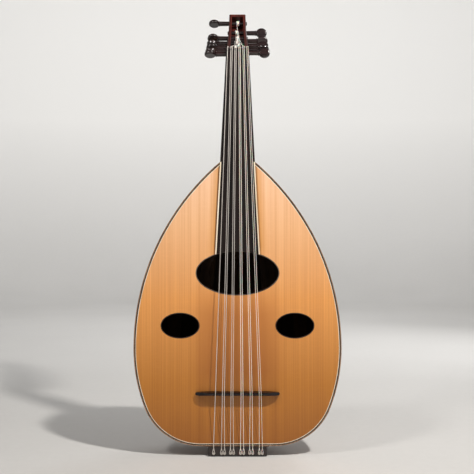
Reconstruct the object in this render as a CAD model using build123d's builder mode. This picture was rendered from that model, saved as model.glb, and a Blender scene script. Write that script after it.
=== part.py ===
from build123d import *
from math import acos, asin, atan2, cos, hypot, radians, sin, sqrt, tan
import os

# An oud: a bowl-backed lute with eleven strings, a floating bridge and a bent-back pegbox.
# It stands upright: +Z runs up the neck, +Y goes into the bowl, and the soundboard faces -Y.
# The soundboard's outer face lies on y = 0 and the bottom of the string holder on z = 0.

# Body outline, right half: three arcs tangent to one another above a straight tail
TAIL_Z = 18.0
BODY_HALF_W = 183.2
WIDEST_Z = 190.0
UPPER_R = 430.0
SIDE_R = 290.0
CORNER_R = 105.0
JOINT_Z = 518.0

# Soundboard
BOARD_T = 2.2
BINDING_W = 1.9
BINDING_ROUND = 0.7
PURFLING_DARK = 3.6
PURFLING_LIGHT = 4.6
LARGE_HOLE_Z = 322.5
LARGE_HOLE_A = 72.2
LARGE_HOLE_B = 37.9
SMALL_HOLE_X = 101.0
SMALL_HOLE_Z = 230.0
SMALL_HOLE_A = 32.9
SMALL_HOLE_B = 21.2
LINING_W = 1.6
BRACE_W = 6.0
BRACE_DEPTH = 13.0
BRACE_INSET = 7.5
BRACE_ZS = (70.0, 130.0, 190.0, 268.0, 375.0, 415.0, 455.0)

# Bowl
RIB_COUNT = 17
RIB_T = 3.0
RIB_INSET = 0.7
RIB_START_R = 10.0
RIB_ANGLE = 180.0 / RIB_COUNT
NECK_BLOCK_Z = 480.0
TAIL_BLOCK_R = 46.0
TAIL_BLOCK_H = 15.0
CLASP_R = 56.0
CLASP_T = 2.5
CLASP_CHAMFER = 1.0

# Neck and fingerboard
STRING_LENGTH = 604.0
BRIDGE_Z = 111.0
NUT_Z = BRIDGE_Z + STRING_LENGTH
NUT_HALF_W = 20.0
NUT_T = 3.5
NUT_H = 4.5
BOARD_END_Z = 350.0
BOARD_END_HALF_W = 39.6
FINGERBOARD_T = 3.0
FB_BINDING_W = 2.2
FB_CHAMFER = 0.4
NECK_END_Z = 693.0
NECK_DEPTH_JOINT = 33.2
NECK_DEPTH_END = 22.0

# Pegbox: its front edge is an arc which leaves the nut bent back 74 degrees from the neck line
EDGE_Y = 2.0
EDGE_Z = 716.5
EDGE_ANGLE = radians(74.3)
EDGE_R = 329.0
EDGE_LENGTH = 195.0
ROOT_TOP_Z = 718.5
ROOT_DEPTH = 20.0
ROOT_LOW_Z = 705.0
CHAMBER_DEPTH = 20.0
CHAMBER_END = 188.0
END_DEPTH = 23.0
MIDDLE_DEPTH = 24.5
CHEEK_T = 5.0
PEGBOX_HALF_W = 20.4
PEGBOX_END_HALF_W = 15.6
PEGBOX_REACH = 166.0
CHEEK_CHAMFER = 0.8

# Pegs
PEG_DEPTH = 11.0
PEG_R = 4.0
PEG_TAPER = 1.0 / 60.0
PEG_CLEARANCE = 0.05
PEG_TIP = 2.6
PEG_TIP_CHAMFER = 1.0
SHAFT_SHOWN = 18.0
COLLAR_R = 5.4
COLLAR_T = 2.2
COLLAR_SLOPE = 0.55
WAIST_CUT = 1.4
HEAD_LENGTH = 21.0
HEAD_WIDTH = 19.5
HEAD_T = 7.4
HEAD_ROUND = 2.9
HEAD_SINK = 1.2

# Strings: course positions are the centre of each course, bass course first
NUT_COURSES = (-17.3, -10.4, -3.5, 3.4, 10.4, 17.3)
BRIDGE_COURSES = (-38.7, -24.8, -9.7, 7.9, 23.8, 39.6)
TAIL_COURSES = (-42.0, -25.5, -9.7, 8.0, 24.0, 41.0)
STRING_RS = (0.62, 0.58, 0.54, 0.50, 0.45, 0.40)
NUT_PAIR = 2.4
BRIDGE_PAIR = 3.5
TAIL_PAIR = 5.4
NUT_STRING_Y = -3.9
NUT_BEND_Z = 720.7
NUT_BEND_R = 1.5
BRIDGE_STRING_Y = -11.9
BRIDGE_BEND_R = 8.0
EDGE_STRING_Y = -2.2
EDGE_STRING_Z = 20.5
EDGE_BEND_R = 6.0
LOOP_TOP_Z = 15.0
HITCH_Z = 5.8
COIL_TURNS = 5
STRING_GAP = 0.1
SLOT_CLEARANCE = 0.12

# Bridge and string holder
BRIDGE_LENGTH = 148.0
BRIDGE_LIFT = 0.05
BRIDGE_W = 8.0
BRIDGE_TOP_W = 4.4
BRIDGE_H = 12.3
BRIDGE_END_H = 5.0
BRIDGE_FLAT = 47.0
BRIDGE_TAPER_X = 71.4
BRIDGE_TAPER_W = 2.6
BRIDGE_ROUND = 1.2
BRIDGE_ARCH = 2.5
BRIDGE_ARCH_HALF = 40.0
BRIDGE_SLOT_DEPTH = 0.35
HOLDER_HALF_L = 52.0
HOLDER_Y = -1.5
HOLDER_DEPTH = 14.0
HOLDER_ROUND = 3.0
HOLDER_CHAMFER = 0.75
PIN_R = 1.45
PIN_DEPTH = 6.0
PIN_REACH = 4.2
PIN_HEAD_R = 2.2
PIN_HEAD_T = 1.0

# Each peg: distance along the pegbox edge, side of its head, turn of its head in degrees
PEG_ROWS = (
    (27.0, -1, 22.0),
    (40.0, 1, 75.0),
    (52.0, -1, 8.0),
    (64.0, 1, 118.0),
    (76.0, -1, 35.0),
    (88.0, 1, 62.0),
    (100.0, -1, 15.0),
    (112.0, 1, 96.0),
    (124.0, -1, 48.0),
    (146.0, 1, 80.0),
    (180.0, -1, 28.0),
)
# Each string: its course, its place in the pair, its peg, and where it meets the peg across the box
STRING_ROWS = (
    (0, 0.0, 0, -7.0),
    (1, -0.5, 2, -7.6),
    (1, 0.5, 4, -6.4),
    (2, -0.5, 6, -5.2),
    (2, 0.5, 8, -3.4),
    (3, -0.5, 10, -1.6),
    (3, 0.5, 9, 1.2),
    (4, -0.5, 7, 3.2),
    (4, 0.5, 5, 5.0),
    (5, -0.5, 3, 6.4),
    (5, 0.5, 1, 5.6),
)

# Centres of the outline arcs and of the pegbox edge
CORNER_Z = TAIL_Z + CORNER_R
CORNER_DROP = WIDEST_Z - CORNER_Z
CORNER_X = BODY_HALF_W - SIDE_R + sqrt((SIDE_R - CORNER_R) ** 2 - CORNER_DROP ** 2)
EDGE_CENTRE_Y = EDGE_Y - EDGE_R * cos(EDGE_ANGLE)
EDGE_CENTRE_Z = EDGE_Z + EDGE_R * sin(EDGE_ANGLE)
FIT_MARGIN = 1.0
FAR = 60.0
TALL = 300.0

os.makedirs("parts", exist_ok=True)


def save(solid, name):
    """Label a piece and write its STEP file."""
    solid.label = name
    export_step(solid, "parts/" + name + ".step")


def outline_points(inset, top):
    """Joints of the three outline arcs, set in from the edge by inset."""
    reach = (CORNER_X - BODY_HALF_W + SIDE_R) / (SIDE_R - CORNER_R)
    drop = CORNER_DROP / (SIDE_R - CORNER_R)
    foot = (CORNER_X, TAIL_Z + inset)
    hip = (CORNER_X + (CORNER_R - inset) * reach, CORNER_Z - (CORNER_R - inset) * drop)
    side = (BODY_HALF_W - inset, WIDEST_Z)
    rise = top - WIDEST_Z
    crown = (BODY_HALF_W - UPPER_R + sqrt((UPPER_R - inset) ** 2 - rise ** 2), top)
    return foot, hip, side, crown, (drop, reach)


def outline_arcs(inset, top):
    """Draw the three arcs of the right half of the outline, from the tail to the top."""
    foot, hip, side, crown, climb = outline_points(inset, top)
    TangentArc(foot, hip, tangent=(1, 0))
    TangentArc(hip, side, tangent=climb)
    TangentArc(side, crown, tangent=(0, 1))


def outline_face(inset, top, whole=True):
    """Draw the outline as a face: both halves, or only the right one."""
    foot, hip, side, crown, climb = outline_points(inset, top)
    with BuildLine() as edge:
        Line((0, TAIL_Z + inset), foot)
        outline_arcs(inset, top)
        Line(crown, (0, top))
        if whole:
            mirror(about=Plane.YZ)
        else:
            Line((0, top), (0, TAIL_Z + inset))
    make_face(edge.edges())


def hole_ellipses(grow, mode=Mode.ADD, large=True, small=True):
    """Draw the soundholes, each grown by the same width all round."""
    if large:
        with Locations((0, LARGE_HOLE_Z)):
            Ellipse(LARGE_HOLE_A + grow, LARGE_HOLE_B + grow, mode=mode)
    if small:
        with Locations((-SMALL_HOLE_X, SMALL_HOLE_Z), (SMALL_HOLE_X, SMALL_HOLE_Z)):
            Ellipse(SMALL_HOLE_A + grow, SMALL_HOLE_B + grow, mode=mode)


def fingerboard_half(z):
    """Half width of the fingerboard at a height."""
    slope = (BOARD_END_HALF_W - NUT_HALF_W) / (NUT_Z - BOARD_END_Z)
    return NUT_HALF_W + (NUT_Z - z) * slope


def fingerboard_face(inset, bottom, top, mode=Mode.ADD):
    """Draw the tapered outline of the fingerboard between two heights."""
    low = fingerboard_half(bottom) - inset
    high = fingerboard_half(top) - inset
    with BuildLine() as edge:
        Polyline((-low, bottom), (low, bottom), (high, top), (-high, top), close=True)
    make_face(edge.edges(), mode=mode)


def edge_point(along, depth):
    """Point of the pegbox in its side view: along the front edge, then behind it."""
    angle = EDGE_ANGLE - along / EDGE_R
    radius = EDGE_R + depth
    return EDGE_CENTRE_Y + radius * cos(angle), EDGE_CENTRE_Z - radius * sin(angle)


def pegbox_half(y):
    """Outer half width of the pegbox at a distance behind the nut."""
    return PEGBOX_HALF_W - (PEGBOX_HALF_W - PEGBOX_END_HALF_W) * y / PEGBOX_REACH


def pegbox_profile():
    """Draw the side view of the whole pegbox."""
    tip = edge_point(EDGE_LENGTH, 0)
    back = edge_point(EDGE_LENGTH, END_DEPTH)
    with BuildLine() as edge:
        Polyline((NECK_DEPTH_END, NECK_END_Z), (0, NECK_END_Z), (0, ROOT_TOP_Z), (EDGE_Y, EDGE_Z))
        ThreePointArc((EDGE_Y, EDGE_Z), edge_point(EDGE_LENGTH / 2, 0), tip)
        Line(tip, back)
        middle = edge_point(EDGE_LENGTH / 2, MIDDLE_DEPTH)
        ThreePointArc(back, middle, (NECK_DEPTH_END, NECK_END_Z))
    make_face(edge.edges())


def pegbox_chamber():
    """Cut the string chamber out of the side view; it is open at the front."""
    corner = acos((ROOT_DEPTH - EDGE_CENTRE_Y) / (EDGE_R + CHAMBER_DEPTH))
    start = EDGE_R * (EDGE_ANGLE - corner)
    near = edge_point(start, CHAMBER_DEPTH)
    far = edge_point(CHAMBER_END, CHAMBER_DEPTH)
    with BuildLine() as edge:
        ThreePointArc(near, edge_point((start + CHAMBER_END) / 2, CHAMBER_DEPTH), far)
        Polyline(far, edge_point(CHAMBER_END, -FAR / 2), (near[0], EDGE_Z + FAR / 2), near)
    make_face(edge.edges(), mode=Mode.SUBTRACT)


def plan_strip(inner, outer):
    """Draw a strip of the pegbox's plan between two distances in from its outer face."""
    near = -FIT_MARGIN
    far = PEGBOX_REACH + FAR
    a = pegbox_half(near)
    b = pegbox_half(far)
    with BuildLine() as edge:
        Polyline((a - outer, near), (b - outer, far), (b - inner, far), (a - inner, near), close=True)
    make_face(edge.edges())


def plan_inside():
    """Draw the plan of everything between the cheeks."""
    near = -FIT_MARGIN
    far = PEGBOX_REACH + FAR
    a = pegbox_half(near) - CHEEK_T
    b = pegbox_half(far) - CHEEK_T
    with BuildLine() as edge:
        Polyline((-a, near), (-b, far), (b, far), (a, near), close=True)
    make_face(edge.edges())


def peg_radius(x, side):
    """Radius of a tapered peg at a distance across the pegbox."""
    return PEG_R + PEG_TAPER * x * side


def string_end(row):
    """Where a string leaves the nut and where it meets its peg, as two points."""
    course, place, peg, across = row
    radius = STRING_RS[course]
    along, side, turn = PEG_ROWS[peg]
    axis_y, axis_z = edge_point(along, PEG_DEPTH)
    clear = peg_radius(across, side) + radius + STRING_GAP / 2
    run = hypot(axis_y - NUT_STRING_Y, axis_z - NUT_BEND_Z)
    angle = atan2(axis_z - NUT_BEND_Z, axis_y - NUT_STRING_Y) + asin(clear / run)
    length = sqrt(run ** 2 - clear ** 2)
    start = (NUT_COURSES[course] + place * NUT_PAIR, NUT_STRING_Y, NUT_BEND_Z)
    end = (across, NUT_STRING_Y + length * cos(angle), NUT_BEND_Z + length * sin(angle))
    return start, end


# --- Soundboard ---

with BuildPart() as soundboard_treble:
    with BuildSketch(Plane.XZ):
        outline_face(PURFLING_LIGHT, JOINT_Z, whole=False)
        hole_ellipses(LINING_W, mode=Mode.SUBTRACT)
    extrude(amount=-BOARD_T)
save(soundboard_treble.part, "soundboard_treble_half")

with BuildPart() as soundboard_bass:
    add(mirror(soundboard_treble.part, about=Plane.YZ))
save(soundboard_bass.part, "soundboard_bass_half")


def edge_band(outer, inner):
    """A strip of the soundboard's edge between two distances in from the outline."""
    with BuildPart() as band:
        with BuildSketch(Plane.XZ):
            outline_face(outer, JOINT_Z)
        extrude(amount=-BOARD_T)
        with BuildSketch(Plane.XZ):
            outline_face(inner, JOINT_Z)
        extrude(amount=-BOARD_T, mode=Mode.SUBTRACT)
    return band.part


with BuildPart() as purfling_dark:
    add(edge_band(BINDING_W, PURFLING_DARK))
save(purfling_dark.part, "soundboard_purfling_dark")

with BuildPart() as purfling_light:
    add(edge_band(PURFLING_DARK, PURFLING_LIGHT))
save(purfling_light.part, "soundboard_purfling_light")

with BuildPart() as soundboard_binding:
    add(edge_band(0, BINDING_W))
    rim = soundboard_binding.faces().filter_by(Axis.Y).sort_by(Axis.Y)[0]
    outer = rim.edges().filter_by(lambda e: e.length > FAR).sort_by(lambda e: -e.length)
    chamfer(outer[0:2], BINDING_ROUND)
save(soundboard_binding.part, "soundboard_binding")

with BuildPart() as lining_large:
    with BuildSketch(Plane.XZ):
        hole_ellipses(LINING_W, small=False)
        hole_ellipses(0, mode=Mode.SUBTRACT, small=False)
    extrude(amount=-BOARD_T)
save(lining_large.part, "soundhole_lining_large")

with BuildPart() as linings_small:
    with BuildSketch(Plane.XZ):
        hole_ellipses(LINING_W, large=False)
        hole_ellipses(0, mode=Mode.SUBTRACT, large=False)
    extrude(amount=-BOARD_T)
save(linings_small.part, "soundhole_linings_small")

with BuildPart() as braces:
    with BuildSketch(Plane.XZ.offset(-BOARD_T)):
        with Locations([(0, z) for z in BRACE_ZS]):
            Rectangle(2 * BODY_HALF_W, BRACE_W)
    extrude(amount=-BRACE_DEPTH)
    with BuildSketch(Plane.XZ):
        outline_face(BRACE_INSET, NECK_BLOCK_Z)
    extrude(amount=-2 * BRACE_DEPTH, mode=Mode.INTERSECT)
save(braces.part, "soundboard_braces")

# --- Bowl ---


def make_rib(number):
    """One flat-faced stave of the bowl, cut to its wedge and turned to its place."""
    half = radians(RIB_ANGLE / 2)
    reach = BODY_HALF_W + FAR
    foot, hip, side, crown, climb = outline_points(RIB_INSET, JOINT_Z)
    foot_in, hip_in, side_in, crown_in, climb_in = outline_points(RIB_INSET + RIB_T, JOINT_Z)
    with BuildPart() as rib:
        with BuildSketch(Plane.XZ):
            with BuildLine():
                Polyline(foot, (RIB_START_R, foot[1]), (RIB_START_R, foot_in[1]), foot_in)
                outline_arcs(RIB_INSET, JOINT_Z)
                outline_arcs(RIB_INSET + RIB_T, JOINT_Z)
                Line(crown, crown_in)
            make_face()
        extrude(amount=reach * tan(half), both=True)
        with BuildSketch(Plane.XY):
            with BuildLine():
                Polyline((0, 0), (reach, -reach * tan(half)), (reach, reach * tan(half)), close=True)
            make_face()
        extrude(amount=JOINT_Z + FAR, mode=Mode.INTERSECT)
    turned = rib.part.rotate(Axis.Z, RIB_ANGLE * (number + 0.5))
    return turned.moved(Location((0, BOARD_T, 0)))


MIDDLE_RIB = RIB_COUNT // 2
with BuildPart() as rib_centre:
    add(make_rib(MIDDLE_RIB))
save(rib_centre.part, "rib_centre")

for step in range(1, MIDDLE_RIB + 1):
    with BuildPart() as rib_pair:
        add(make_rib(MIDDLE_RIB - step))
        add(make_rib(MIDDLE_RIB + step))
    save(rib_pair.part, "ribs_pair_" + str(step))

with BuildPart() as neck_block:
    with BuildSketch(Plane.XZ.offset(-BOARD_T)):
        outline_face(RIB_INSET + RIB_T, JOINT_Z, whole=False)
        Rectangle(2 * BODY_HALF_W + FAR, 2 * NECK_BLOCK_Z, mode=Mode.SUBTRACT)
    revolve(axis=Axis((0, BOARD_T, 0), (0, 0, 1)), revolution_arc=180)
save(neck_block.part, "neck_block")


def front_half(reach):
    """Take away everything in front of the soundboard's back."""
    Rectangle(4 * reach, 2 * reach, align=(Align.CENTER, Align.MAX), mode=Mode.SUBTRACT)


BLOCK_Z = TAIL_Z + RIB_INSET + RIB_T
with BuildPart() as tail_block:
    with BuildSketch(Plane.XY.offset(BLOCK_Z)):
        with Locations((0, BOARD_T)):
            Circle(TAIL_BLOCK_R)
            front_half(TAIL_BLOCK_R)
    extrude(amount=TAIL_BLOCK_H)
save(tail_block.part, "tail_block")

CLASP_Z = TAIL_Z + RIB_INSET - CLASP_T
with BuildPart() as end_clasp:
    with BuildSketch(Plane.XY.offset(CLASP_Z)):
        with Locations((0, BOARD_T)):
            Circle(CLASP_R)
            front_half(CLASP_R)
    extrude(amount=CLASP_T)
    chamfer(end_clasp.faces().sort_by(Axis.Z)[0].edges().filter_by(GeomType.CIRCLE), CLASP_CHAMFER)
save(end_clasp.part, "end_clasp")

# --- Neck, fingerboard and nut ---


def neck_section(z, depth):
    """The rounded section of the neck at a height, flat at the front."""
    half = fingerboard_half(z)
    with BuildSketch(Plane.XY.offset(z)) as section:
        Ellipse(half, depth)
        front_half(half + depth)
    return section.sketch


with BuildPart() as neck:
    loft([neck_section(JOINT_Z, NECK_DEPTH_JOINT), neck_section(NECK_END_Z, NECK_DEPTH_END)])
save(neck.part, "neck")

FB_RING = LINING_W / 2
with BuildPart() as fingerboard:
    with BuildSketch(Plane.XZ):
        fingerboard_face(0, JOINT_Z, NUT_Z)
        fingerboard_face(FB_BINDING_W, BOARD_END_Z, JOINT_Z)
        hole_ellipses(FB_RING, mode=Mode.SUBTRACT, small=False)
    extrude(amount=FINGERBOARD_T)
    front = fingerboard.faces().filter_by(Axis.Y).sort_by(Axis.Y)[0]
    chamfer(front.edges().filter_by(lambda e: e.length > FAR), FB_CHAMFER)
save(fingerboard.part, "fingerboard")

with BuildPart() as fb_binding:
    with BuildSketch(Plane.XZ):
        fingerboard_face(0, BOARD_END_Z, JOINT_Z)
        fingerboard_face(FB_BINDING_W, BOARD_END_Z, JOINT_Z, mode=Mode.SUBTRACT)
        hole_ellipses(FB_RING, mode=Mode.SUBTRACT, small=False)
    extrude(amount=FINGERBOARD_T)
save(fb_binding.part, "fingerboard_binding")

SLOT_ALIGN = (Align.CENTER, Align.MAX, Align.CENTER)
with BuildPart() as nut:
    with BuildSketch(Plane.XZ):
        with Locations((0, NUT_Z)):
            Rectangle(2 * NUT_HALF_W, NUT_T, align=(Align.CENTER, Align.MIN))
    extrude(amount=NUT_H)
    for course, place, peg, across in STRING_ROWS:
        radius = STRING_RS[course] + SLOT_CLEARANCE
        nut_x = NUT_COURSES[course] + place * NUT_PAIR
        bridge_x = BRIDGE_COURSES[course] + place * BRIDGE_PAIR
        part_way = (NUT_BEND_Z - NUT_Z - NUT_T / 2) / (NUT_BEND_Z - BRIDGE_Z)
        slot_x = nut_x + (bridge_x - nut_x) * part_way
        with Locations((slot_x, NUT_STRING_Y + radius, NUT_Z)):
            Box(2 * radius, NUT_H, FAR, align=SLOT_ALIGN, mode=Mode.SUBTRACT)
save(nut.part, "nut")

# --- Pegbox ---


def make_cheek():
    """The treble cheek before its peg holes are cut."""
    with BuildPart() as cheek:
        with BuildSketch(Plane.YZ):
            pegbox_profile()
        extrude(amount=FAR)
        with BuildSketch(Plane.XY.offset(NECK_END_Z - FAR)):
            plan_strip(0, CHEEK_T)
        extrude(amount=TALL, mode=Mode.INTERSECT)
        rim_y, rim_z = edge_point(EDGE_LENGTH / 2, 0)
        rim = cheek.edges().sort_by_distance((pegbox_half(rim_y), rim_y, rim_z))
        chamfer(rim[0], CHEEK_CHAMFER)
    return cheek.part


def peg_holes(mirrored):
    """Cut the tapered hole of every peg; mirrored swaps the two sides."""
    for along, side, turn in PEG_ROWS:
        y, z = edge_point(along, PEG_DEPTH)
        swing = -side if mirrored else side
        low = PEG_R + PEG_CLEARANCE - PEG_TAPER * FAR / 2
        high = PEG_R + PEG_CLEARANCE + PEG_TAPER * FAR / 2
        with Locations((0, y, z)):
            Cone(low, high, FAR, rotation=(0, 90 * swing, 0), mode=Mode.SUBTRACT)


with BuildPart() as cheek_treble:
    add(make_cheek())
    peg_holes(False)
save(cheek_treble.part, "pegbox_cheek_treble")

with BuildPart() as cheek_bass_blank:
    add(make_cheek())
    peg_holes(True)
with BuildPart() as cheek_bass:
    add(mirror(cheek_bass_blank.part, about=Plane.YZ))
save(cheek_bass.part, "pegbox_cheek_bass")


def end_region(mode):
    """Draw the part of the side view beyond the end of the chamber."""
    beyond = EDGE_LENGTH + FAR / 2
    with BuildLine() as edge:
        Polyline(
            edge_point(CHAMBER_END, -FAR / 2),
            edge_point(CHAMBER_END, FAR),
            edge_point(beyond, FAR),
            edge_point(beyond, -FAR / 2),
            close=True,
        )
    make_face(edge.edges(), mode=mode)


def root_region(mode):
    """Draw the part of the side view next to the neck."""
    with Locations((ROOT_DEPTH, NECK_END_Z)):
        Rectangle(2 * FAR, 4 * FAR, align=(Align.MAX, Align.CENTER), mode=mode)


def root_slope():
    """Cut the root block down towards the chamber, out of the way of the strings."""
    with BuildLine() as edge:
        Polyline((EDGE_Y, EDGE_Z), (ROOT_DEPTH, ROOT_LOW_Z), (FAR, ROOT_LOW_Z), (FAR, EDGE_Z + FAR),
                 close=True)
    make_face(edge.edges(), mode=Mode.SUBTRACT)


def fill_between_cheeks():
    """Keep only what lies between the inner faces of the cheeks."""
    with BuildSketch(Plane.XY.offset(NECK_END_Z - FAR)) as plan:
        plan_inside()
    extrude(plan.sketch, amount=TALL, mode=Mode.INTERSECT)


with BuildPart() as pegbox_root:
    with BuildSketch(Plane.YZ):
        pegbox_profile()
        root_region(Mode.INTERSECT)
        root_slope()
    extrude(amount=FAR, both=True)
    fill_between_cheeks()
save(pegbox_root.part, "pegbox_root_block")

with BuildPart() as pegbox_end:
    with BuildSketch(Plane.YZ):
        pegbox_profile()
        end_region(Mode.INTERSECT)
    extrude(amount=FAR, both=True)
    fill_between_cheeks()
save(pegbox_end.part, "pegbox_end_block")

with BuildPart() as pegbox_back:
    with BuildSketch(Plane.YZ):
        pegbox_profile()
        pegbox_chamber()
        root_region(Mode.SUBTRACT)
        end_region(Mode.SUBTRACT)
    extrude(amount=FAR, both=True)
    fill_between_cheeks()
save(pegbox_back.part, "pegbox_back_plate")

# --- Pegs and the string coils on them ---


def make_peg(along, side, turn):
    """One peg: tapered shaft, collar and flat rounded head, in its hole."""
    y, z = edge_point(along, PEG_DEPTH)
    half = pegbox_half(y)
    tip = -half - PEG_TIP
    collar = half + SHAFT_SHOWN
    tip_r = PEG_R + PEG_TAPER * tip
    collar_r = PEG_R + PEG_TAPER * collar
    head_x = collar + COLLAR_T + HEAD_LENGTH / 2 - HEAD_SINK
    with BuildPart() as peg:
        with BuildSketch(Plane.XY):
            with Locations((head_x, 0)):
                Ellipse(HEAD_LENGTH / 2, HEAD_WIDTH / 2)
        extrude(amount=HEAD_T / 2, both=True)
        fillet(peg.faces().filter_by(Axis.Z).edges(), HEAD_ROUND)
        with BuildSketch(Plane.XY):
            with BuildLine():
                Polyline(
                    (head_x, 0),
                    (tip, 0),
                    (tip, tip_r - PEG_TIP_CHAMFER),
                    (tip + PEG_TIP_CHAMFER, tip_r),
                    (collar, collar_r),
                    (collar + COLLAR_SLOPE, COLLAR_R),
                    (collar + COLLAR_T - COLLAR_SLOPE, COLLAR_R),
                    (collar + COLLAR_T, collar_r - WAIST_CUT),
                    (head_x, collar_r - WAIST_CUT),
                    close=True,
                )
            make_face()
        revolve(axis=Axis.X)
    placed = peg.part.rotate(Axis.X, turn)
    if side < 0:
        placed = placed.rotate(Axis.Z, 180)
    return placed.moved(Location((0, y, z)))


def make_coil(row):
    """The turns of one string on its peg, as a sleeve beside the incoming string."""
    course, place, peg, across = row
    along, side, turn = PEG_ROWS[peg]
    y, z = edge_point(along, PEG_DEPTH)
    radius = STRING_RS[course]
    width = 2 * radius * COIL_TURNS
    inward = -1 if across > 0 else 1
    middle = across + inward * (width / 2 + radius + STRING_GAP)
    inner = max(peg_radius(middle - width / 2, side), peg_radius(middle + width / 2, side))
    with BuildPart() as coil:
        with BuildSketch(Plane.YZ.offset(middle - width / 2)):
            with Locations((y, z)):
                Circle(inner + 2 * radius)
                Circle(inner, mode=Mode.SUBTRACT)
        extrude(amount=width)
    return coil.part


SIDE_NAMES = {-1: "bass", 1: "treble"}
for number, (along, side, turn) in enumerate(PEG_ROWS):
    with BuildPart() as peg_piece:
        add(make_peg(along, side, turn))
    save(peg_piece.part, "peg_" + str(number + 1) + "_" + SIDE_NAMES[side])

for row in STRING_ROWS:
    with BuildPart() as coil_piece:
        add(make_coil(row))
    save(coil_piece.part, "string_coil_" + str(row[2] + 1))

# --- Strings ---


def add_string(row):
    """One string: loop on its pin, over the tail edge, the bridge and the nut, to its peg."""
    course, place, peg, across = row
    radius = STRING_RS[course]
    tail_x = TAIL_COURSES[course] + place * TAIL_PAIR
    start, end = string_end(row)
    with BuildLine() as route:
        FilletPolyline(
            (tail_x, EDGE_STRING_Y, LOOP_TOP_Z),
            (tail_x, EDGE_STRING_Y, EDGE_STRING_Z),
            (BRIDGE_COURSES[course] + place * BRIDGE_PAIR, BRIDGE_STRING_Y, BRIDGE_Z),
            start,
            end,
            radius=(EDGE_BEND_R, BRIDGE_BEND_R, NUT_BEND_R),
        )
    with BuildSketch(Plane(route.line @ 0, z_dir=route.line % 0)) as section:
        Circle(radius)
    sweep(section.sketch, path=route.line)
    drop = LOOP_TOP_Z - HITCH_Z
    bend = PIN_R + radius + STRING_GAP / 2
    lean = asin(bend / drop)
    leg = sqrt(drop ** 2 - bend ** 2)
    apex = (tail_x, EDGE_STRING_Y, LOOP_TOP_Z)
    left = (tail_x - leg * sin(lean), EDGE_STRING_Y, LOOP_TOP_Z - leg * cos(lean))
    right = (tail_x + leg * sin(lean), EDGE_STRING_Y, LOOP_TOP_Z - leg * cos(lean))
    short = (tail_x + radius * sin(lean), EDGE_STRING_Y, LOOP_TOP_Z - radius * cos(lean))
    with BuildLine() as loop:
        Line(apex, left)
        ThreePointArc(left, (tail_x, EDGE_STRING_Y, HITCH_Z - bend), right)
        Line(right, short)
    with BuildSketch(Plane(loop.line @ 0, z_dir=loop.line % 0)) as loop_section:
        Circle(radius)
    sweep(loop_section.sketch, path=loop.line)


COURSE_NAMES = ("1_bass", "2", "3", "4", "5", "6_treble")
for course_number, course_name in enumerate(COURSE_NAMES):
    with BuildPart() as course_strings:
        for row in STRING_ROWS:
            if row[0] == course_number:
                add_string(row)
    save(course_strings.part, "string_course_" + course_name)

# --- Bridge, string holder and pins ---

with BuildPart() as bridge:
    end_x = BRIDGE_LENGTH / 2
    foot_y = -BRIDGE_LIFT
    with BuildSketch(Plane.XY.offset(BRIDGE_Z - BRIDGE_W / 2)):
        with BuildLine():
            Line((BRIDGE_ARCH_HALF, foot_y), (end_x, foot_y))
            Line((end_x, foot_y), (end_x, -BRIDGE_END_H))
            TangentArc((BRIDGE_FLAT, -BRIDGE_H), (end_x, -BRIDGE_END_H), tangent=(1, 0))
            Line((BRIDGE_FLAT, -BRIDGE_H), (0, -BRIDGE_H))
            mirror(about=Plane.YZ)
            arch_top = (0, foot_y - BRIDGE_ARCH)
            ThreePointArc((-BRIDGE_ARCH_HALF, foot_y), arch_top, (BRIDGE_ARCH_HALF, foot_y))
        make_face()
    extrude(amount=BRIDGE_W)
    with BuildSketch(Plane.XZ):
        with BuildLine():
            low = BRIDGE_Z - BRIDGE_W / 2
            taper = (BRIDGE_TAPER_X, BRIDGE_Z - BRIDGE_TAPER_W)
            Line((0, low), (BRIDGE_FLAT, low))
            TangentArc((BRIDGE_FLAT, low), taper, tangent=(1, 0))
            ThreePointArc(taper, (end_x, BRIDGE_Z), (BRIDGE_TAPER_X, BRIDGE_Z + BRIDGE_TAPER_W))
            high = BRIDGE_Z + BRIDGE_W / 2
            TangentArc((BRIDGE_FLAT, high), (BRIDGE_TAPER_X, BRIDGE_Z + BRIDGE_TAPER_W), tangent=(1, 0))
            Line((BRIDGE_FLAT, high), (0, high))
            mirror(about=Plane.YZ)
        make_face()
    extrude(amount=BRIDGE_H + FIT_MARGIN, mode=Mode.INTERSECT)
    with BuildSketch(Plane.YZ) as bridge_section:
        with BuildLine():
            Polyline(
                (0, BRIDGE_Z - BRIDGE_W / 2),
                (FIT_MARGIN - BRIDGE_END_H, BRIDGE_Z - BRIDGE_W / 2),
                (-BRIDGE_H, BRIDGE_Z - BRIDGE_TOP_W / 2),
                (-BRIDGE_H, BRIDGE_Z + BRIDGE_TOP_W / 2),
                (FIT_MARGIN - BRIDGE_END_H, BRIDGE_Z + BRIDGE_W / 2),
                (0, BRIDGE_Z + BRIDGE_W / 2),
                close=True,
            )
        make_face()
        fillet(bridge_section.vertices().group_by(Axis.X)[0], BRIDGE_ROUND)
    extrude(amount=BRIDGE_LENGTH, both=True, mode=Mode.INTERSECT)
    for course, place, peg, across in STRING_ROWS:
        radius = STRING_RS[course] + SLOT_CLEARANCE
        slot_x = BRIDGE_COURSES[course] + place * BRIDGE_PAIR
        slot_y = BRIDGE_STRING_Y + radius + BRIDGE_SLOT_DEPTH
        with Locations((slot_x, slot_y, BRIDGE_Z)):
            Box(2 * radius, FAR, BRIDGE_W, align=SLOT_ALIGN, mode=Mode.SUBTRACT)
save(bridge.part, "bridge")


def pin_places():
    """Where each hitch pin stands on the front of the string holder."""
    return [(TAIL_COURSES[row[0]] + row[1] * TAIL_PAIR, HITCH_Z) for row in STRING_ROWS]


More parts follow.
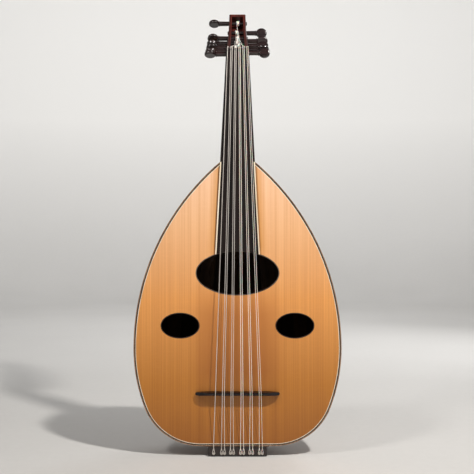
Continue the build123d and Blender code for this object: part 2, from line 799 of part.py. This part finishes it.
with BuildPart() as holder:
    with BuildSketch(Plane.XY):
        with Locations((0, HOLDER_Y)):
            Rectangle(2 * HOLDER_HALF_L, HOLDER_DEPTH, align=(Align.CENTER, Align.MIN))
    extrude(amount=CLASP_Z)
    fillet(holder.edges().filter_by(Axis.Z), HOLDER_ROUND)
    chamfer(holder.faces().sort_by(Axis.Z)[0].edges(), HOLDER_CHAMFER)
    with BuildSketch(Plane.XZ.offset(-HOLDER_Y)):
        with Locations(pin_places()):
            Circle(PIN_R)
    extrude(amount=-PIN_DEPTH, mode=Mode.SUBTRACT)
save(holder.part, "string_holder")

with BuildPart() as pins:
    with BuildSketch(Plane.XZ.offset(-HOLDER_Y - PIN_DEPTH)):
        with Locations(pin_places()):
            Circle(PIN_R)
    extrude(amount=PIN_DEPTH + HOLDER_Y + PIN_REACH)
    with BuildSketch(Plane.XZ.offset(PIN_REACH - PIN_HEAD_T)):
        with Locations(pin_places()):
            Circle(PIN_HEAD_R)
    extrude(amount=PIN_HEAD_T)
save(pins.part, "hitch_pins")
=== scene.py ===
import math

import bmesh
import bpy
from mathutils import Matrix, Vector


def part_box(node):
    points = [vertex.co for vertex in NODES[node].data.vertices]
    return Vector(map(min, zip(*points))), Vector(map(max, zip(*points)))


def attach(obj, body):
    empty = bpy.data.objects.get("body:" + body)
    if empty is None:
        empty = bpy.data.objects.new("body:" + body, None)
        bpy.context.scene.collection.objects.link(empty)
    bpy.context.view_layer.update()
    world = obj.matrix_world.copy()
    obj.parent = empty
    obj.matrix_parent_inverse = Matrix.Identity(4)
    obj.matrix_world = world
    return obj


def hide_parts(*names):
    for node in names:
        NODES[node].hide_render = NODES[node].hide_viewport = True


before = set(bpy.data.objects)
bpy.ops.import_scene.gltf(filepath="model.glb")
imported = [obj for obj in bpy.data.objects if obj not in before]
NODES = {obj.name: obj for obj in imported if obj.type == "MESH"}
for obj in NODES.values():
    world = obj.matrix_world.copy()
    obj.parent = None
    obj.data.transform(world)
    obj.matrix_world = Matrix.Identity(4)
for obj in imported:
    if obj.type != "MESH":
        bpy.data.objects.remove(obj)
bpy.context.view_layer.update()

MM = 0.001
PEG_NODES = sorted(n for n in NODES if n.startswith("peg_") and n.count("_") == 2)
COIL_NODES = sorted(n for n in NODES if n.startswith("string_coil_"))
PEG_OF_COIL = {"string_coil_" + n.split("_")[1]: n for n in PEG_NODES}

# Centre (y, z) and radius of the arc that the pegbox follows, in metres
PEGBOX_CENTRE = (-0.0870, 1.0332)
PEGBOX_R = 0.34
# Where the strings leave the nut, as y and z
NUT_EDGE = (-0.0039, 0.7207)
# Thickness of the soundboard: the bowl's own axis lies on its inner face
BOARD_T = 0.0022
STAVES = 17
STAVE_ANGLE = math.pi / STAVES
STAVE_PAIRS = STAVES // 2
JOINT_WIDTH = 0.0005


# --- Building blocks for materials ---

class Mat:
    """A node material with short names for the nodes it is built from."""

    def __init__(self, name):
        self.material = bpy.data.materials.new(name)
        self.material.use_nodes = True
        self.tree = self.material.node_tree
        self.tree.nodes.clear()
        output = self.tree.nodes.new("ShaderNodeOutputMaterial")
        self.shader = self.tree.nodes.new("ShaderNodeBsdfPrincipled")
        self.tree.links.new(self.shader.outputs[0], output.inputs[0])
        self.point = self.tree.nodes.new("ShaderNodeTexCoord").outputs["Object"]

    def put(self, value, socket):
        """Links a socket to another one, or gives it a constant value."""
        if isinstance(value, bpy.types.NodeSocket):
            self.tree.links.new(value, socket)
        elif isinstance(value, tuple) and len(value) == 3 and len(socket.default_value) == 4:
            socket.default_value = value + (1.0,)
        elif value is not None:
            socket.default_value = value

    def set(self, **values):
        """Sets sockets of the main shader: base_color=..., roughness=..."""
        for key, value in values.items():
            self.put(value, self.shader.inputs[key.replace("_", " ").title().replace("Ior", "IOR")])

    def math(self, operation, a, b=None):
        node = self.tree.nodes.new("ShaderNodeMath")
        node.operation = operation
        self.put(a, node.inputs[0])
        self.put(b, node.inputs[1])
        return node.outputs[0]

    def plus(self, a, b):
        return self.math("ADD", a, b)

    def minus(self, a, b):
        return self.math("SUBTRACT", a, b)

    def times(self, a, b):
        return self.math("MULTIPLY", a, b)

    def length(self, a, b):
        """The long side of the right-angled triangle with the short sides a and b."""
        return self.math("SQRT", self.plus(self.math("POWER", a, 2.0), self.math("POWER", b, 2.0)))

    def split(self, vector):
        node = self.tree.nodes.new("ShaderNodeSeparateXYZ")
        self.put(vector, node.inputs[0])
        return node.outputs

    def join(self, x, y, z):
        node = self.tree.nodes.new("ShaderNodeCombineXYZ")
        for value, socket in zip((x, y, z), node.inputs):
            self.put(value, socket)
        return node.outputs[0]

    def scaled(self, vector, scale, shift=(0, 0, 0)):
        node = self.tree.nodes.new("ShaderNodeMapping")
        self.put(vector, node.inputs["Vector"])
        node.inputs["Scale"].default_value = scale
        node.inputs["Location"].default_value = shift
        return node.outputs[0]

    def noise(self, vector, detail=4.0, roughness=0.55, distortion=0.0):
        node = self.tree.nodes.new("ShaderNodeTexNoise")
        self.put(vector, node.inputs["Vector"])
        node.inputs["Scale"].default_value = 1.0
        node.inputs["Detail"].default_value = detail
        node.inputs["Roughness"].default_value = roughness
        node.inputs["Distortion"].default_value = distortion
        return node.outputs["Fac"]

    def ramp(self, value, *stops):
        """A colour ramp: stops are (position, (r, g, b)) or (position, grey)."""
        node = self.tree.nodes.new("ShaderNodeValToRGB")
        self.put(value, node.inputs[0])
        ramp = node.color_ramp
        while len(ramp.elements) < len(stops):
            ramp.elements.new(0.5)
        for element, (place, colour) in zip(ramp.elements, stops):
            if not isinstance(colour, tuple):
                colour = (colour, colour, colour)
            element.position = place
            element.color = colour + (1.0,)
        return node.outputs[0]

    def span(self, value, low, high, to_low=0.0, to_high=1.0):
        """Carries the range low to high over to another range, and stops at its ends."""
        node = self.tree.nodes.new("ShaderNodeMapRange")
        for number, socket in zip((low, high, to_low, to_high), node.inputs[1:5]):
            socket.default_value = number
        self.put(value, node.inputs[0])
        return node.outputs[0]

    def mix(self, factor, a, b):
        """The colour a at factor 0 and the colour b at factor 1."""
        node = self.tree.nodes.new("ShaderNodeMix")
        node.data_type = "RGBA"
        self.put(factor, node.inputs[0])
        self.put(a, node.inputs[6])
        self.put(b, node.inputs[7])
        return node.outputs[2]

    def bump(self, height, distance, strength):
        node = self.tree.nodes.new("ShaderNodeBump")
        node.inputs["Strength"].default_value = strength
        node.inputs["Distance"].default_value = distance
        self.put(height, node.inputs["Height"])
        self.put(node.outputs[0], self.shader.inputs["Normal"])


# --- Coordinates that follow the grain: across, through, along ---

def upright(mat):
    return mat.point


def sideways(mat):
    x, y, z = mat.split(mat.point)
    return mat.join(y, z, x)


def level(mat):
    x, y, z = mat.split(mat.point)
    return mat.join(z, y, x)


def around_bowl(mat):
    """Angle round the bowl's axis, distance from it, and height."""
    x, y, z = mat.split(mat.point)
    depth = mat.minus(y, BOARD_T)
    return mat.math("ARCTAN2", depth, x), mat.length(x, depth), z


def along_staves(mat):
    """The mean bowl radius turns the angle into a distance across the staves."""
    mean_radius, flatten = 0.15, 0.25
    angle, radius, z = around_bowl(mat)
    return mat.join(mat.times(angle, mean_radius), mat.times(radius, flatten), z)


def along_pegbox(mat):
    x, y, z = mat.split(mat.point)
    from_y = mat.minus(y, PEGBOX_CENTRE[0])
    from_z = mat.minus(PEGBOX_CENTRE[1], z)
    angle = mat.math("ARCTAN2", from_z, from_y)
    return mat.join(mat.length(from_y, from_z), x, mat.times(angle, PEGBOX_R))


def faces_inwards(mat):
    """1 on the faces that look towards the bowl's axis."""
    x, y, _ = mat.split(mat.point)
    nx, ny, _ = mat.split(mat.tree.nodes.new("ShaderNodeNewGeometry").outputs["Normal"])
    out = mat.plus(mat.times(x, nx), mat.times(mat.minus(y, BOARD_T), ny))
    return mat.span(out, -0.01, 0.0, 1.0, 0.0)


def stave_joint(mat):
    """1 on the glue line between two staves, 0 elsewhere."""
    angle, radius, _ = around_bowl(mat)
    place = mat.math("DIVIDE", angle, STAVE_ANGLE)
    off = mat.math("ABSOLUTE", mat.minus(place, mat.math("ROUND", place)))
    gap = mat.times(mat.times(off, STAVE_ANGLE), radius)
    return mat.span(gap, 0.4 * JOINT_WIDTH, JOINT_WIDTH, 1.0, 0.0)


# --- Wood ---

# Noise scales per metre: across, through and along the grain
FIBRES = (900, 900, 14)
STREAKS = (160, 160, 3.5)
PORES = (2200, 2200, 75)
HANDLING = (7, 7, 5)
GLUE_LINE = (0.012, 0.006, 0.004)
BOWL_INSIDE_SHADE = (0.014, 0.008, 0.005)


def wood(name, light, middle, dark, grain, figure=1.0, bands=9.0, seed=0.0, rough=(0.3, 0.45),
         coat=0.4, coat_rough=0.15, pores=0.6, specular=0.5, staves=False):
    """Wood with long fibres, wandering growth bands and short dark pores."""
    mat = Mat(name)
    vector = mat.scaled(grain(mat), (1, 1, 1), (seed, seed * 0.37, seed * 1.3))
    broad = mat.noise(mat.scaled(vector, (24 * figure, 24 * figure, 2.2)), detail=3, distortion=0.6)
    ring = mat.math("PINGPONG", mat.times(broad, bands), 1.0)
    fibre = mat.noise(mat.scaled(vector, FIBRES), detail=5, roughness=0.65)
    streak = mat.noise(mat.scaled(vector, STREAKS), detail=4, roughness=0.6)
    tone = mat.plus(mat.times(ring, 0.42), mat.times(streak, 0.58))
    tone = mat.plus(tone, mat.times(mat.minus(fibre, 0.5), 0.35))
    colour = mat.ramp(tone, (0.18, dark), (0.48, middle), (0.82, light))
    pore = mat.span(mat.noise(mat.scaled(vector, PORES), detail=2, roughness=0.5), 0.60, 0.70)
    pore_colour = tuple(0.35 * value for value in dark)
    colour = mat.mix(mat.times(pore, pores), colour, pore_colour)
    handled = mat.noise(mat.scaled(vector, HANDLING), detail=3)
    gloss = mat.span(mat.plus(handled, mat.times(streak, 0.3)), 0.45, 0.85, *rough)
    height = mat.minus(mat.times(fibre, 0.4), pore)
    if staves:
        joint = stave_joint(mat)
        colour = mat.mix(mat.times(joint, 0.85), colour, GLUE_LINE)
        # Painted shade: the faces inside the bowl are painted near black.
        colour = mat.mix(mat.times(faces_inwards(mat), 0.88), colour, BOWL_INSIDE_SHADE)
        height = mat.minus(height, mat.times(joint, 3.0))
    mat.set(base_color=colour, roughness=gloss, coat_weight=coat, coat_roughness=coat_rough)
    mat.set(specular_ior_level=specular)
    mat.bump(height, 0.03 * MM, 0.7)
    return mat.material


# Paler at the top and darker towards the tail: partly the varnish, partly painted light, a painted sheen at
# the top and painted shade where the light falls off downwards; share of the height, then colour
SPRUCE_TONES_AND_SHADE = ((0.0, (0.40, 0.140, 0.018)), (0.22, (0.57, 0.225, 0.032)), (0.53, (0.90, 0.41, 0.12)),
                (0.8, (0.96, 0.57, 0.30)), (1.0, (0.96, 0.64, 0.43)))
LINE_TONES_AND_SHADE = ((0.0, (0.22, 0.065, 0.008)), (0.22, (0.33, 0.105, 0.014)), (0.53, (0.55, 0.205, 0.050)),
              (1.0, (0.74, 0.37, 0.17)))
# Next to the fingerboard: a darker band and a thin dark line right at its side, both partly varnish and
# partly painted shadow of the board
BESIDE_BOARD_SHADE = (0.62, 0.275, 0.062)
AT_BOARD_SHADOW = (0.22, 0.088, 0.020)
# Half the fingerboard's width at height 0, and how much it loses per metre of height
HALF_BOARD = 0.0566
BOARD_TAPER = 0.0514
# Growth rings in half the soundboard: their number grows with this power of the distance
RING_POWER = 0.86
RING_COUNT = 480.0
# How dark the wood is through one ring: place in the ring, then share of the dark tone
LATE_WOOD = ((0.0, 0.12), (0.55, 0.2), (0.86, 0.95), (0.93, 1.0), (1.0, 0.12))


def spruce():
    """Book-matched spruce: rings narrow at the joint, wider outwards, with a warm varnish and painted light:
    paler at the top, painted shade towards the tail, beside the fingerboard and under the strings.
    """
    mat = Mat("spruce_soundboard")
    x, _, z = mat.split(mat.point)
    out = mat.math("ABSOLUTE", x)

    def lines(across, slice_y, along, **detail):
        """Noise drawn out along the height: across and along are its own coordinates."""
        return mat.noise(mat.join(across, slice_y, mat.times(z, along)), **detail)

    sway = lines(mat.times(out, 2.0), 0.3, 1.1, detail=2)
    wander = lines(mat.times(out, 55.0), 0.7, 0.35, detail=3)
    place = mat.plus(out, mat.times(sway, 0.006))
    place = mat.plus(place, mat.times(wander, 0.0028))
    count = mat.times(mat.math("POWER", place, RING_POWER), RING_COUNT)
    late = mat.ramp(mat.math("FRACT", count), *LATE_WOOD)
    strength = lines(mat.times(mat.math("FLOOR", count), 0.73), 0.1, 0.6, detail=1)
    streak = lines(mat.times(place, 260.0), 0.2, 1.2, detail=5, roughness=0.7)
    fibre = mat.noise(mat.scaled(mat.point, (1900, 300, 26)), detail=4, roughness=0.7)
    silk = mat.noise(mat.scaled(mat.point, (60, 40, 420)), detail=3, distortion=0.4)

    # Painted light: the colour gets paler towards the top and darker towards the tail, partly varnish and
    # partly the light falling off downwards.
    tall = mat.span(z, 0.02, 0.50)
    ground = mat.ramp(tall, *SPRUCE_TONES_AND_SHADE)
    line = mat.ramp(tall, *LINE_TONES_AND_SHADE)
    colour = mat.mix(mat.times(late, mat.span(strength, 0.3, 0.75, 0.25, 0.8)), ground, line)
    colour = mat.mix(mat.span(streak, 0.36, 0.70, 0.0, 0.55), colour, line)
    colour = mat.mix(mat.span(silk, 0.52, 0.75, 0.0, 0.22), colour, ground)
    colour = mat.mix(mat.span(fibre, 0.55, 0.8, 0.0, 0.16), colour, line)

    # Painted shadow of the fingerboard, partly darker varnish: a band beside the board above the large hole,
    # and a thin line at its edge.
    beyond = mat.minus(out, mat.minus(HALF_BOARD, mat.times(z, BOARD_TAPER)))
    above_hole = mat.span(z, 0.33, 0.37)
    beside_board_shade = mat.times(mat.span(beyond, 0.001, 0.017, 0.9, 0.0), above_hole)
    beside_board_shade = mat.times(beside_board_shade, mat.span(streak, 0.25, 0.6, 0.65, 1.0))
    colour = mat.mix(beside_board_shade, colour, BESIDE_BOARD_SHADE)
    at_board_shadow = mat.times(mat.span(beyond, 0.0016, 0.0048, 0.9, 0.0), above_hole)
    colour = mat.mix(at_board_shadow, colour, AT_BOARD_SHADOW)
    # Painted shadow of the strings, partly darker varnish: the board turns darker near the middle between the
    # bridge and the large hole.
    low_end = mat.times(mat.span(z, 0.09, 0.15), mat.span(z, 0.25, 0.31, 1.0, 0.0))
    under_strings_shade = mat.times(mat.span(out, 0.050, 0.090, 1.0, 0.0), low_end)
    colour = mat.mix(mat.times(under_strings_shade, 0.85), colour, line)

    cloud = mat.noise(mat.scaled(mat.point, (6, 6, 3)), detail=3)
    colour = mat.mix(mat.span(cloud, 0.35, 0.75, 0.0, 0.2), colour, line)
    mat.set(base_color=colour, roughness=mat.span(cloud, 0.3, 0.7, 0.34, 0.44))
    mat.set(coat_weight=0.18, coat_roughness=0.22, specular_ior_level=0.4)
    mat.bump(mat.plus(mat.times(late, 0.7), mat.times(fibre, 0.5)), 0.02 * MM, 0.6)
    return mat.material


# --- Strings, pins and paper ---

def wound_string():
    """Silvered wire wound closely round a core: fine ridges across the string."""
    ridges_per_metre = 3600.0
    mat = Mat("wound_string")
    _, y, z = mat.split(mat.point)
    run = mat.plus(z, mat.times(y, 0.6))
    turn = mat.math("PINGPONG", mat.times(run, ridges_per_metre), 1.0)
    ridge = mat.math("SINE", mat.times(turn, math.pi / 2))
    dull = mat.noise(mat.scaled(mat.point, (90, 90, 30)))
    colour = mat.mix(mat.span(dull, 0.35, 0.7), (0.86, 0.81, 0.76), (0.68, 0.63, 0.58))
    # Painted shade: darker in the grooves between the turns.
    colour = mat.mix(mat.times(mat.minus(1.0, ridge), 0.22), colour, (0.42, 0.38, 0.34))
    mat.set(base_color=colour, metallic=0.45, roughness=mat.span(dull, 0.3, 0.7, 0.28, 0.42))
    mat.bump(ridge, 0.05 * MM, 0.8)
    return mat.material


def nylon_string():
    """Milky drawn nylon."""
    mat = Mat("nylon_string")
    drawn = mat.noise(mat.scaled(mat.point, (2500, 2500, 60)), detail=3)
    tone = mat.noise(mat.scaled(mat.point, (12, 12, 7)), detail=2)
    colour = mat.mix(mat.span(tone, 0.35, 0.7), (0.92, 0.87, 0.80), (0.82, 0.77, 0.69))
    mat.set(base_color=colour, roughness=mat.span(drawn, 0.3, 0.7, 0.2, 0.32))
    mat.set(subsurface_weight=0.3, subsurface_scale=0.4 * MM, coat_weight=0.3, coat_roughness=0.1)
    mat.bump(drawn, 0.008 * MM, 0.5)
    return mat.material


def pin_metal():
    """Turned nickel silver with a light tarnish."""
    mat = Mat("silver_pins")
    tarnish = mat.noise(mat.scaled(mat.point, (420, 420, 420)), detail=5, roughness=0.65)
    lathe = mat.noise(mat.scaled(mat.point, (300, 9000, 300)), detail=2)
    tones = (0.35, (0.42, 0.38, 0.33)), (0.6, (0.74, 0.71, 0.66)), (0.8, (0.86, 0.84, 0.80))
    colour = mat.ramp(tarnish, *tones)
    mat.set(base_color=colour, metallic=1.0, roughness=mat.span(tarnish, 0.3, 0.7, 0.42, 0.24))
    mat.bump(mat.plus(lathe, mat.times(tarnish, 0.4)), 0.01 * MM, 0.6)
    return mat.material


def studio_paper():
    """Faintly mottled matt surface, which gets paler up the wall: painted light that evens out the dimmer
    wall against the lit floor.
    """
    mat = Mat("studio_paper")
    fleck = mat.noise(mat.scaled(mat.point, (60, 60, 60)), detail=6, roughness=0.7)
    broad = mat.noise(mat.scaled(mat.point, (1.4, 1.4, 1.4)), detail=2)
    tone = mat.plus(mat.times(fleck, 0.4), mat.times(broad, 0.6))
    mottled = mat.mix(mat.span(tone, 0.35, 0.65), (0.60, 0.59, 0.575), (0.56, 0.55, 0.535))
    _, _, z = mat.split(mat.point)
    # Painted light: paler up the wall, to even out the dim wall against the brightly lit floor.
    wall_painted_light = mat.mix(mat.span(z, 0.0, 1.2), mottled, (0.95, 0.94, 0.92))
    mat.set(base_color=wall_painted_light, roughness=0.9, specular_ior_level=0.2)
    mat.bump(fleck, 0.1 * MM, 0.3)
    return mat.material


# --- Materials on the CAD pieces ---

def give(material, *names):
    """Puts one material on CAD nodes."""
    for name in names:
        slots = NODES[name].data.materials
        for index in range(len(slots)):
            slots[index] = material


give(spruce(), "soundboard_bass_half", "soundboard_treble_half")
give(wood("spruce_brace", (0.72, 0.46, 0.22), (0.62, 0.36, 0.15), (0.45, 0.23, 0.08), level, 3.0, 12,
          rough=(0.55, 0.7), coat=0.0, pores=0.1), "soundboard_braces")

STAVE_DARK = ((0.125, 0.042, 0.018), (0.070, 0.022, 0.010), (0.022, 0.008, 0.005))
STAVE_LIGHT = ((0.44, 0.20, 0.072), (0.31, 0.125, 0.042), (0.15, 0.052, 0.018))
for number in range(STAVE_PAIRS + 1):
    tones = STAVE_DARK if number % 2 else STAVE_LIGHT
    give(wood("stave_" + str(number), *tones, along_staves, 2.6, 5, seed=1.7 * number, rough=(0.24, 0.36),
              coat=0.5, coat_rough=0.1, pores=0.55, staves=True),
         "ribs_pair_" + str(number) if number else "rib_centre")

give(wood("block_wood", (0.60, 0.38, 0.19), (0.48, 0.28, 0.13), (0.30, 0.15, 0.06), upright, 1.0, 8,
          rough=(0.55, 0.75), coat=0.0, pores=0.3), "neck_block", "tail_block")
give(wood("dark_trim", (0.030, 0.014, 0.010), (0.015, 0.008, 0.006), (0.006, 0.004, 0.003), upright, 4.0, 10,
          rough=(0.24, 0.36), coat=0.5, coat_rough=0.12, pores=0.5),
     "soundboard_purfling_dark", "soundhole_linings_small")
# The large lining is a paler copy of the dark trim: painted highlight for the light catching on its edge.
give(wood("lining_wood_painted_highlight", (0.17, 0.13, 0.10), (0.10, 0.075, 0.06), (0.045, 0.03, 0.025), upright, 4.0, 8,
          seed=2.8, rough=(0.22, 0.32), coat=0.6, coat_rough=0.1, pores=0.3), "soundhole_lining_large")
give(wood("binding_wood", (0.40, 0.25, 0.15), (0.27, 0.155, 0.09), (0.13, 0.065, 0.038), upright, 4.0, 6,
          seed=8.2, rough=(0.20, 0.30), coat=0.8, coat_rough=0.08, pores=0.3), "soundboard_binding")
give(wood("clasp_wood", (0.20, 0.075, 0.03), (0.11, 0.036, 0.015), (0.04, 0.013, 0.007), level, 2.0, 8,
          rough=(0.24, 0.36), coat=0.55, coat_rough=0.12), "end_clasp")
give(wood("neck_wood", (0.23, 0.095, 0.040), (0.135, 0.048, 0.020), (0.05, 0.017, 0.008), upright, 1.6, 8,
          seed=4.1, rough=(0.26, 0.38), coat=0.45, coat_rough=0.14), "neck")
give(wood("ebony_board", (0.026, 0.012, 0.010), (0.012, 0.007, 0.006), (0.005, 0.003, 0.003), upright, 2.4, 9,
          seed=2.3, rough=(0.36, 0.50), coat=0.0, coat_rough=0.25, pores=0.8, specular=0.3), "fingerboard")
give(wood("ebony_bridge", (0.018, 0.008, 0.007), (0.009, 0.005, 0.005), (0.004, 0.003, 0.003), level, 3.0, 9,
          seed=5.3, rough=(0.13, 0.20), coat=0.28, coat_rough=0.05, pores=0.4, specular=0.2), "bridge")
give(wood("maple_strip", (0.96, 0.88, 0.74), (0.90, 0.78, 0.60), (0.74, 0.58, 0.38), upright, 4.0, 8,
          rough=(0.32, 0.44), coat=0.3, pores=0.1), "fingerboard_binding", "soundboard_purfling_light")
give(wood("nut_ebony", (0.075, 0.045, 0.036), (0.040, 0.024, 0.020), (0.014, 0.009, 0.008), level, 4.0, 8,
          rough=(0.18, 0.3), coat=0.6, coat_rough=0.1), "nut")
give(wood("rosewood_pegbox", (0.17, 0.036, 0.022), (0.080, 0.016, 0.012), (0.030, 0.008, 0.006), along_pegbox,
          4.0, 4, seed=3.7, rough=(0.26, 0.40), coat=0.25, coat_rough=0.14, specular=0.3),
     "pegbox_cheek_bass", "pegbox_cheek_treble", "pegbox_back_plate", "pegbox_end_block", "pegbox_root_block")
give(wood("ebony_holder", (0.022, 0.012, 0.010), (0.011, 0.007, 0.006), (0.004, 0.003, 0.003), level, 2.6, 9,
          seed=6.1, rough=(0.30, 0.42), coat=0.3, coat_rough=0.15), "string_holder")
for number, name in enumerate(PEG_NODES):
    give(wood("peg_wood_" + name, (0.028, 0.010, 0.009), (0.013, 0.006, 0.006), (0.005, 0.003, 0.003),
              sideways, 3.0, 9, seed=0.9 * number, rough=(0.16, 0.26), coat=0.9, coat_rough=0.05, pores=0.5),
         name)
WOUND = wound_string()
NYLON = nylon_string()
give(WOUND, "string_course_1_bass", "string_course_2", "string_course_3")
give(NYLON, "string_course_4", "string_course_5", "string_course_6_treble")
give(pin_metal(), "hitch_pins")


# --- The turns of each string on its peg ---

TURNS = 5
STEPS_PER_TURN = 40
RING_POINTS = 10
# Degrees at which the half-round ends of a tube get their rings
END_RINGS = (20, 50, 80)
# A coil with thicker string than this is wound with metal
THINNEST_WOUND = 0.52 * MM


def on_circle(step, steps):
    """Cosine and sine of one step out of a full turn."""
    angle = 2 * math.pi * step / steps
    return math.cos(angle), math.sin(angle)


def close_mesh(mesh, name, material):
    """Turns a bmesh into a smooth object in the scene."""
    bmesh.ops.recalc_face_normals(mesh, faces=mesh.faces)
    for face in mesh.faces:
        face.smooth = True
    data = bpy.data.meshes.new(name)
    mesh.to_mesh(data)
    mesh.free()
    data.materials.append(material)
    piece = bpy.data.objects.new(name, data)
    bpy.context.scene.collection.objects.link(piece)
    return piece


def tube(name, centres, radius, material):
    """A closed tube along a row of points, with rounded ends."""
    frames = []
    for index, point in enumerate(centres):
        before = centres[max(index - 1, 0)]
        after = centres[min(index + 1, len(centres) - 1)]
        tangent = (after - before).normalized()
        side = tangent.cross(Vector((1, 0, 0))).normalized()
        frames.append((point, side, tangent.cross(side).normalized(), tangent))

    def end_ring(at, way, degrees):
        point, side, up, tangent = at
        past = radius * math.sin(math.radians(degrees))
        return point + tangent * (way * past), side, up, radius * math.cos(math.radians(degrees))

    rings = [end_ring(frames[0], -1, degrees) for degrees in reversed(END_RINGS)]
    rings += [(point, side, up, radius) for point, side, up, _ in frames]
    rings += [end_ring(frames[-1], 1, degrees) for degrees in END_RINGS]
    mesh = bmesh.new()
    rows = []
    for centre, side, up, size in rings:
        row = []
        for step in range(RING_POINTS):
            across, along = on_circle(step, RING_POINTS)
            row.append(mesh.verts.new(centre + side * (size * across) + up * (size * along)))
        rows.append(row)
    for low_row, high_row in zip(rows, rows[1:]):
        for step in range(RING_POINTS):
            after = (step + 1) % RING_POINTS
            mesh.faces.new((low_row[step], low_row[after], high_row[after], high_row[step]))
    mesh.faces.new(rows[0])
    mesh.faces.new(rows[-1])
    return close_mesh(mesh, name, material)


for coil_name in COIL_NODES:
    low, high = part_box(coil_name)
    radius = (high[0] - low[0]) / (2 * TURNS)
    centre_y = (low[1] + high[1]) / 2
    centre_z = (low[2] + high[2]) / 2
    wrap = (high[1] - low[1]) / 2 - radius
    leave = math.atan2(centre_z - NUT_EDGE[1], centre_y - NUT_EDGE[0]) + math.pi / 2
    # The turns run from the outer end of the coil towards the middle of the pegbox
    outward = 1 if (low[0] + high[0]) > 0 else -1
    start_x = high[0] - radius if outward > 0 else low[0] + radius
    points = []
    total = (TURNS - 1) * STEPS_PER_TURN
    for step in range(total + 1):
        angle = leave - 2 * math.pi * step / STEPS_PER_TURN
        x = start_x - outward * 2 * radius * (TURNS - 1) * step / total
        points.append(Vector((x, centre_y + wrap * math.cos(angle), centre_z + wrap * math.sin(angle))))
    peg_name = PEG_OF_COIL[coil_name]
    wound = radius > THINNEST_WOUND
    piece = tube(coil_name + "_turns", points, radius, WOUND if wound else NYLON)
    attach(piece, peg_name)
    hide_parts(coil_name)


# --- Floor, backdrop, light and camera ---

FLOOR_R = 3.4
BEND_R = 1.2
WALL_HEIGHT = 3.2
BOWL_SIDES = 96
BEND_STEPS = 16
# The floor lies this much below the oud, so that their faces don't fight
FLOOR_DROP = 0.0002


def studio_bowl():
    """A pale round studio: level floor, a wide bend, and an upright wall all round."""
    profile = [(0.02, 0.0), (0.6, 0.0), (1.6, 0.0), (FLOOR_R, 0.0)]
    for step in range(1, BEND_STEPS + 1):
        angle = math.pi / 2 * step / BEND_STEPS
        profile.append((FLOOR_R + BEND_R * math.sin(angle), BEND_R - BEND_R * math.cos(angle)))
    profile.append((FLOOR_R + BEND_R, WALL_HEIGHT))
    mesh = bmesh.new()
    rows = []
    for step in range(BOWL_SIDES):
        east, north = on_circle(step, BOWL_SIDES)
        rows.append([mesh.verts.new((r * east, r * north, z - FLOOR_DROP)) for r, z in profile])
    for step in range(BOWL_SIDES):
        row, after = rows[step], rows[(step + 1) % BOWL_SIDES]
        for index in range(len(profile) - 1):
            mesh.faces.new((row[index], row[index + 1], after[index + 1], after[index]))
    mesh.faces.new([row[0] for row in rows])
    bowl = close_mesh(mesh, "studio_bowl", studio_paper())


def area_light(name, place, target, size, power, colour):
    data = bpy.data.lights.new(name, "AREA")
    data.shape = "RECTANGLE"
    data.size, data.size_y = size
    data.energy = power
    data.color = colour
    lamp = bpy.data.objects.new(name, data)
    lamp.location = place
    lamp.rotation_euler = (Vector(target) - Vector(place)).to_track_quat("-Z", "Y").to_euler()
    bpy.context.scene.collection.objects.link(lamp)


WARM = (1.0, 0.97, 0.93)
WHITE = (1.0, 1.0, 1.0)
studio_bowl()
area_light("key_left", (-0.80, -0.85, 1.62), (0, 0, 0.55), (0.25, 0.25), 9, WARM)
area_light("key_right", (0.75, -0.85, 1.68), (0, 0, 0.55), (0.10, 0.10), 34, WARM)
area_light("fill", (0.2, -2.4, 0.9), (0, 0, 0.40), (1.6, 1.6), 2, (1.0, 0.98, 0.95))
area_light("wall", (0.0, 1.4, 2.6), (0, 4.4, 0.9), (2.4, 0.8), 70, WHITE)
area_light("rim", (1.1, 1.5, 1.2), (0, 0.1, 0.45), (0.7, 1.3), 12, WHITE)
bpy.context.scene.view_settings.view_transform = "Standard"
world = bpy.data.worlds.new("studio")
world.use_nodes = True
sky = world.node_tree.nodes["Background"]
sky.inputs["Color"].default_value = (0.80, 0.82, 0.85, 1)
sky.inputs["Strength"].default_value = 0.08
bpy.context.scene.world = world

# Metres seen across the picture at the soundboard, and how far off the camera is
FIELD = 0.8342
DISTANCE = 1.5
SENSOR = 36
EYE = (-0.0009, -DISTANCE, 0.386)
camera_data = bpy.data.cameras.new("camera")
camera_data.sensor_width = SENSOR
camera_data.lens = SENSOR * DISTANCE / FIELD
camera = bpy.data.objects.new("camera", camera_data)
camera.location = EYE
camera.rotation_euler = (math.pi / 2, 0, 0)
bpy.context.scene.collection.objects.link(camera)
bpy.context.scene.camera = camera
